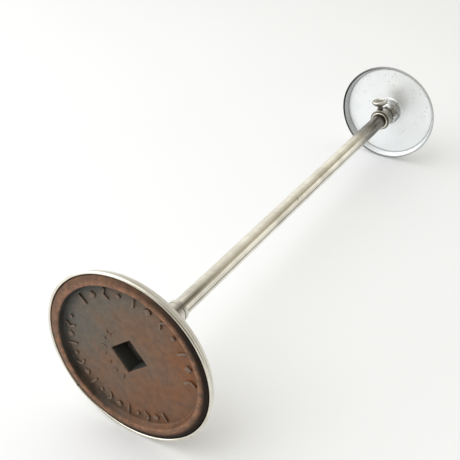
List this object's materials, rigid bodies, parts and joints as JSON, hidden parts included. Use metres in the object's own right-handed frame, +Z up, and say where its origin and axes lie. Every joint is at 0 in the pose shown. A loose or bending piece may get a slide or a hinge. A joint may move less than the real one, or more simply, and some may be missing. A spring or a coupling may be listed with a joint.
{
  "type": "telescoping display stand",
  "caption": "Telescoping shop display stand: weighted round base, nickel-plated tube, sliding and turning rod held by a thumb screw, and a round pan on top.",
  "frame": {"origin": "on the tube's axis, in the plane that the base's rim stands on", "axes": "+Z up the tube, -Y the way the thumb screw points"},
  "size_m": [0.1236, 0.1236, 0.4217],
  "materials": {
    "nickel_plate": "worn nickel plate on brass, lightly pitted",
    "cast_iron": "brown copper-washed cast iron with patina",
    "plain_steel": "dull unplated steel",
    "plain_steel_bright": "drawn steel rod, nickel plated",
    "brass": "dull brass or bronze"
  },
  "bodies": {
    "stand": {"base_cover": "nickel_plate", "base_weight": "cast_iron", "foot_washer": "plain_steel", "foot_nut": "plain_steel", "foot_stud": "plain_steel", "foot_ferrule": "nickel_plate", "outer_tube": "nickel_plate", "clamp_collar": "nickel_plate"},
    "pad": {"clamp_pad": "brass"},
    "screw": {"thumb_screw": "nickel_plate"},
    "guide": {"guide_bush": "brass"},
    "rod": {"inner_rod": "plain_steel_bright", "guide_screw": "plain_steel", "top_hub": "nickel_plate", "hub_ring": "nickel_plate", "top_plate": "nickel_plate", "top_screw": "nickel_plate"}
  },
  "joints": [
    {"name": "rod_slide", "type": "slide", "parent": "stand", "child": "guide", "axis": [0, 0, 1], "range_m": [0, 0.2895]},
    {"name": "rod_swivel", "type": "hinge", "parent": "guide", "child": "rod", "pos_m": [0, 0, 0.4], "axis": [0, 0, 1], "continuous": true},
    {"name": "pad_travel", "type": "slide", "parent": "stand", "child": "pad", "axis": [0, -1, 0], "range_m": [0, 0.0016]},
    {"name": "screw_turn", "type": "hinge", "parent": "pad", "child": "screw", "pos_m": [0, -0.012, 0.4007], "axis": [0, -1, 0], "range_deg": [0, 720]}
  ],
  "couplings": [
    {"joint": "screw_turn", "follows": "pad_travel", "rad_per_m": 7853.9}
  ]
}
